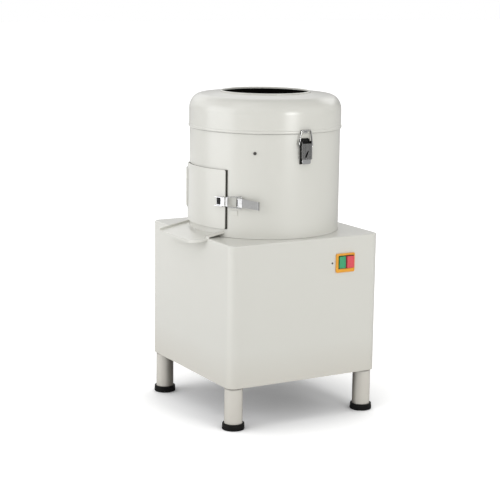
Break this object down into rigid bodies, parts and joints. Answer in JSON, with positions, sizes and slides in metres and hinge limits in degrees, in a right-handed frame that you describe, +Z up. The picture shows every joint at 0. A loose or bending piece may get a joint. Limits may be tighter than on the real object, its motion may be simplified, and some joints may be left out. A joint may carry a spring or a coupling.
{
  "type": "electric potato peeler",
  "caption": "Drum potato peeler on a square cabinet with tube legs: domed feed lid, side discharge door over a sloping chute, toggle latches, push-button switch, belt-driven abrasive disc.",
  "frame": {"origin": "on the floor under the middle of the machine's bounding box", "axes": "+Z up, -Y towards the front with the switch, -X towards the discharge door and chute"},
  "size_m": [0.5264, 0.5106, 0.9131],
  "materials": {
    "cream_paint": "semi-gloss enamel",
    "black_rubber": "matt moulded",
    "bright_chrome": "bright plated",
    "zinc_plate": "zinc plated",
    "turned_steel": "turned",
    "cast_iron": "dark phosphated",
    "motor_paint": "satin",
    "abrasive_grit": "bonded abrasive grit",
    "yellow_plastic": "satin moulded",
    "dark_plastic": "matt moulded",
    "green_plastic": "gloss moulded",
    "red_plastic": "gloss moulded"
  },
  "bodies": {
    "frame": {"cabinet_shell": "cream_paint", "rear_cover": "cream_paint", "cover_screw_left": "zinc_plate", "cover_screw_right": "zinc_plate", "base_pan": "zinc_plate", "leg_front_left": "cream_paint", "leg_front_right": "cream_paint", "leg_rear_left": "cream_paint", "leg_rear_right": "cream_paint", "foot_front_left": "black_rubber", "foot_front_right": "black_rubber", "foot_rear_left": "black_rubber", "foot_rear_right": "black_rubber", "motor_body": "motor_paint", "motor_bracket": "zinc_plate", "motor_terminal_box": "motor_paint", "drive_belt": "black_rubber", "bearing_housing": "cast_iron", "bearing_upper": "turned_steel", "bearing_lower": "turned_steel", "shaft_seal": "black_rubber", "drum_shell": "cream_paint", "drum_floor": "cream_paint", "drum_bolt": "cast_iron", "abrasive_liner": "abrasive_grit", "drain_pipe": "zinc_plate", "water_inlet": "zinc_plate", "cable_gland": "dark_plastic", "lid_seal": "black_rubber", "front_latch_base": "bright_chrome", "rear_latch_base": "bright_chrome", "door_latch_base": "bright_chrome", "hinge_drum_leaf": "cream_paint", "hinge_pin": "zinc_plate", "chute": "cream_paint", "switch_surround": "yellow_plastic", "switch_block": "dark_plastic", "switch_screw": "cast_iron"},
    "disc": {"abrasive_disc": "abrasive_grit", "disc_cap_nut": "turned_steel", "drive_shaft": "turned_steel", "drive_pulley": "cast_iron"},
    "rotor": {"motor_pulley": "cast_iron"},
    "lid_group": {"lid": "cream_paint", "feed_ring": "cream_paint", "front_keeper": "bright_chrome", "rear_keeper": "bright_chrome"},
    "door": {"door_panel": "cream_paint", "door_seal": "black_rubber", "door_lining": "abrasive_grit", "hinge_door_leaf": "cream_paint", "door_catch": "bright_chrome"},
    "front_lever": {"front_latch_lever": "bright_chrome"},
    "front_bail": {"front_latch_bail": "bright_chrome"},
    "rear_lever": {"rear_latch_lever": "bright_chrome"},
    "rear_bail": {"rear_latch_bail": "bright_chrome"},
    "door_lever": {"door_latch_lever": "bright_chrome"},
    "door_loop": {"door_latch_loop": "bright_chrome"},
    "start": {"start_button": "green_plastic"},
    "stop": {"stop_button": "red_plastic"}
  },
  "joints": [
    {"name": "disc_spin", "type": "hinge", "parent": "frame", "child": "disc", "pos_m": [0.01975, -0.00375, 0.45], "axis": [0, 0, 1], "continuous": true},
    {"name": "motor_spin", "type": "hinge", "parent": "frame", "child": "rotor", "pos_m": [0.01975, 0.14825, 0.34], "axis": [0, 0, 1], "continuous": true},
    {"name": "lid_lift", "type": "slide", "parent": "frame", "child": "lid_group", "axis": [0, 0, 1], "range_m": [0, 0.15]},
    {"name": "door_swing", "type": "hinge", "parent": "frame", "child": "door", "pos_m": [-0.17494, 0.09977, 0.635], "axis": [0, 0, -1], "range_deg": [0, 110]},
    {"name": "front_lever_swing", "type": "hinge", "parent": "frame", "child": "front_lever", "pos_m": [0.01975, -0.22775, 0.786], "axis": [-1, 0, 0], "range_deg": [0, 140]},
    {"name": "front_bail_swing", "type": "hinge", "parent": "front_lever", "child": "front_bail", "pos_m": [0.01975, -0.22625, 0.774], "axis": [-1, 0, 0], "range_deg": [-140, 0]},
    {"name": "rear_lever_swing", "type": "hinge", "parent": "frame", "child": "rear_lever", "pos_m": [0.01975, 0.22025, 0.786], "axis": [1, 0, 0], "range_deg": [0, 140]},
    {"name": "rear_bail_swing", "type": "hinge", "parent": "rear_lever", "child": "rear_bail", "pos_m": [0.01975, 0.21875, 0.774], "axis": [1, 0, 0], "range_deg": [-140, 0]},
    {"name": "door_lever_swing", "type": "hinge", "parent": "frame", "child": "door_lever", "pos_m": [-0.14829, -0.15186, 0.6205], "axis": [0, 0, -1], "range_deg": [0, 120]},
    {"name": "door_loop_swing", "type": "hinge", "parent": "door_lever", "child": "door_loop", "pos_m": [-0.14122, -0.15762, 0.6205], "axis": [0, 0, -1], "range_deg": [-120, 0]},
    {"name": "start_press", "type": "slide", "parent": "frame", "child": "start", "axis": [0, 1, 0], "range_m": [0, 0.003], "stiffness_N_per_m": 400, "springref_m": -0.003},
    {"name": "stop_press", "type": "slide", "parent": "frame", "child": "stop", "axis": [0, 1, 0], "range_m": [0, 0.003], "stiffness_N_per_m": 400, "springref_m": -0.003}
  ],
  "couplings": [
    {"joint": "motor_spin", "follows": "disc_spin", "ratio": 3.314},
    {"joint": "front_bail_swing", "follows": "front_lever_swing", "ratio": -1},
    {"joint": "rear_bail_swing", "follows": "rear_lever_swing", "ratio": -1},
    {"joint": "door_loop_swing", "follows": "door_lever_swing", "ratio": -1}
  ]
}
